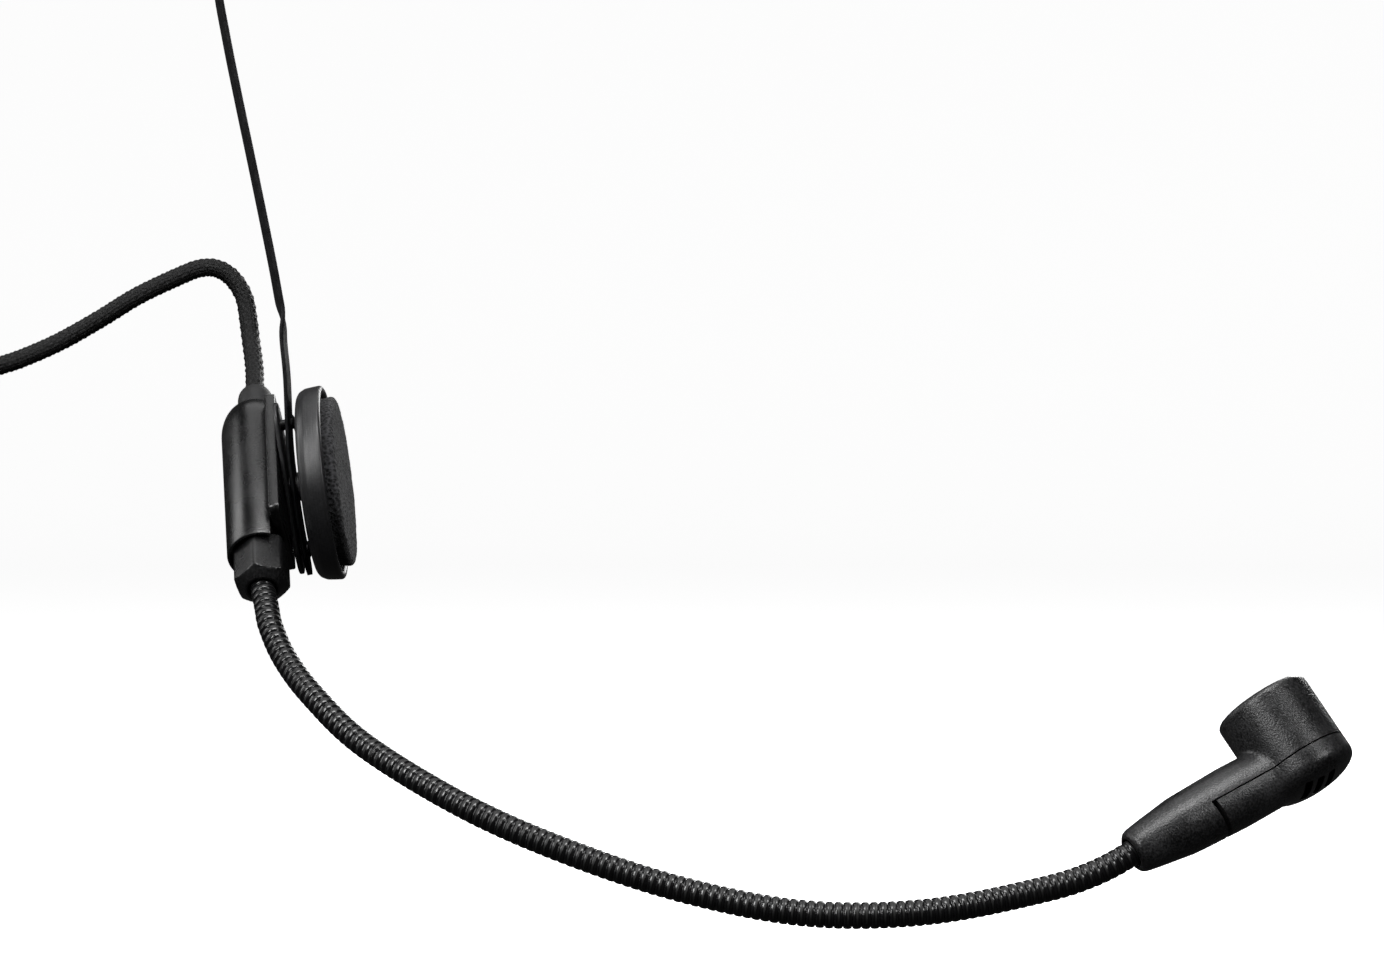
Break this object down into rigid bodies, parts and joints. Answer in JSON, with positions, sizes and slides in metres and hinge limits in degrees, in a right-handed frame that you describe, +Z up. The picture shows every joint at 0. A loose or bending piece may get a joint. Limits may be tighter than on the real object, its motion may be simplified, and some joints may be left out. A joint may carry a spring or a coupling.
{
  "type": "headset microphone",
  "caption": "Over-head headset microphone: spring band, foam temple pads, turning boom housing, posable gooseneck with a close-talk capsule, and a braided lead to a locking plug.",
  "frame": {"origin": "the inner face of the headband at its crown, where it rests on the top of the head", "axes": "+Z up; the wearer faces -Y; +X from the microphone-side pad towards the far pad; the arch is yawed 13.5 degrees about Z"},
  "size_m": [0.2924, 0.1381, 0.2999],
  "materials": {
    "spring_steel": "satin black spring steel",
    "black_metal": "satin black",
    "gooseneck": "gloss black wound steel",
    "bright_metal": "plain",
    "contact": "plated",
    "moulded": "matte black, fine texture",
    "cup_plastic": "satin dark grey",
    "rubber": "matte",
    "foam": "open-cell foam, charcoal",
    "braid": "braided textile, black",
    "mesh": "fine woven mesh"
  },
  "bodies": {
    "headband": {"headband_strip": "spring_steel", "clip_plate": "black_metal", "clip_rivet_lower": "bright_metal", "clip_rivet_upper": "bright_metal", "pivot_stud": "bright_metal", "far_pad_stud": "bright_metal", "mic_cable": "braid", "cable_coil": "braid", "cable_tail": "braid", "cable_tie": "rubber", "plug_strain_relief": "rubber", "plug_shell": "black_metal", "plug_sleeve": "contact", "plug_insulator": "rubber", "plug_tip": "contact"},
    "boom": {"boom_housing": "moulded", "flange_plate": "moulded", "flange_screw_1": "black_metal", "flange_screw_2": "black_metal", "friction_washer": "bright_metal", "cable_bushing": "rubber", "boom_lead": "rubber", "gland_nut": "moulded", "gland_seal": "rubber", "gooseneck_ferrule": "bright_metal", "gooseneck_1": "gooseneck"},
    "neck_2": {"gooseneck_2": "gooseneck"},
    "neck_3": {"gooseneck_3": "gooseneck"},
    "neck_4": {"gooseneck_4": "gooseneck"},
    "neck_5": {"gooseneck_5": "gooseneck"},
    "neck_6": {"gooseneck_6": "gooseneck"},
    "neck_7": {"gooseneck_7": "gooseneck"},
    "neck_8": {"gooseneck_8": "gooseneck"},
    "microphone": {"gooseneck_9": "gooseneck", "mic_ferrule": "bright_metal", "mic_body": "moulded", "mic_cover": "moulded", "mic_capsule": "bright_metal", "capsule_sleeve": "rubber", "mouth_foam": "foam", "mouth_grille": "mesh", "grille_ring": "black_metal", "vent_cloth": "mesh", "mic_lead": "rubber"},
    "pad_swivel": {"pad_socket": "moulded"},
    "pad": {"pad_cup": "cup_plastic", "pad_retainer": "bright_metal", "pad_foam": "foam"},
    "far_pad_swivel": {"far_pad_socket": "moulded"},
    "far_pad": {"far_pad_cup": "cup_plastic", "far_pad_retainer": "bright_metal", "far_pad_foam": "foam"},
    "lock_ring": {"plug_lock_ring": "black_metal"}
  },
  "joints": [
    {"name": "boom_turn", "type": "hinge", "parent": "headband", "child": "boom", "pos_m": [-0.06675, -0.0149, -0.193], "axis": [0.9877, 0, 0.1564], "range_deg": [-95, 60]},
    {"name": "gooseneck_lift", "type": "hinge", "parent": "boom", "child": "neck_2", "pos_m": [-0.05942, -0.04646, -0.22303], "axis": [-0.847, -0.5315, 0], "range_deg": [-8, 8]},
    {"name": "gooseneck_swing", "type": "hinge", "parent": "neck_2", "child": "neck_3", "pos_m": [-0.04705, -0.06144, -0.23642], "axis": [0.4136, -0.3614, 0.8357], "range_deg": [-8, 8]},
    {"name": "gooseneck_lift_2", "type": "hinge", "parent": "neck_3", "child": "neck_4", "pos_m": [-0.02754, -0.07574, -0.24849], "axis": [-0.5469, -0.8372, 0], "range_deg": [-8, 8]},
    {"name": "gooseneck_swing_2", "type": "hinge", "parent": "neck_4", "child": "neck_5", "pos_m": [-0.00793, -0.08581, -0.25705], "axis": [0.3051, -0.12, 0.9447], "range_deg": [-8, 8]},
    {"name": "gooseneck_lift_3", "type": "hinge", "parent": "neck_5", "child": "neck_6", "pos_m": [0.01667, -0.09383, -0.26495], "axis": [-0.251, -0.968, 0], "range_deg": [-8, 8]},
    {"name": "gooseneck_swing_3", "type": "hinge", "parent": "neck_6", "child": "neck_7", "pos_m": [0.03938, -0.09884, -0.26938], "axis": [0.1134, -0.0155, 0.9934], "range_deg": [-8, 8]},
    {"name": "gooseneck_lift_4", "type": "hinge", "parent": "neck_7", "child": "neck_8", "pos_m": [0.06631, -0.09811, -0.26945], "axis": [0.1777, -0.9841, 0], "range_deg": [-8, 8]},
    {"name": "gooseneck_swing_4", "type": "hinge", "parent": "neck_8", "child": "microphone", "pos_m": [0.08881, -0.09177, -0.26573], "axis": [-0.2034, -0.0576, 0.9774], "range_deg": [-8, 8]},
    {"name": "pad_nod", "type": "hinge", "parent": "headband", "child": "pad_swivel", "pos_m": [-0.05588, -0.0149, -0.19128], "axis": [0, 1, 0], "range_deg": [-3, 3]},
    {"name": "pad_rock", "type": "hinge", "parent": "pad_swivel", "child": "pad", "pos_m": [-0.05588, -0.0149, -0.19128], "axis": [-0.1184, 0, 0.993], "range_deg": [-5, 5]},
    {"name": "far_pad_nod", "type": "hinge", "parent": "headband", "child": "far_pad_swivel", "pos_m": [0.07203, 0.01729, -0.06646], "axis": [-0.2334, 0.9724, 0], "range_deg": [-3, 3]},
    {"name": "far_pad_rock", "type": "hinge", "parent": "far_pad_swivel", "child": "far_pad", "pos_m": [0.07203, 0.01729, -0.06646], "axis": [-0.1269, -0.0305, 0.9914], "range_deg": [-5, 5]},
    {"name": "lock_ring_spin", "type": "hinge", "parent": "headband", "child": "lock_ring", "pos_m": [-0.1386, 0.0075, -0.2803], "axis": [0, 0, 1], "continuous": true}
  ],
  "couplings": [
    {"joint": "gooseneck_lift_2", "follows": "gooseneck_lift", "ratio": 1},
    {"joint": "gooseneck_swing_2", "follows": "gooseneck_swing", "ratio": 1},
    {"joint": "gooseneck_lift_3", "follows": "gooseneck_lift", "ratio": 1},
    {"joint": "gooseneck_swing_3", "follows": "gooseneck_swing", "ratio": 1},
    {"joint": "gooseneck_lift_4", "follows": "gooseneck_lift", "ratio": 1},
    {"joint": "gooseneck_swing_4", "follows": "gooseneck_swing", "ratio": 1}
  ]
}
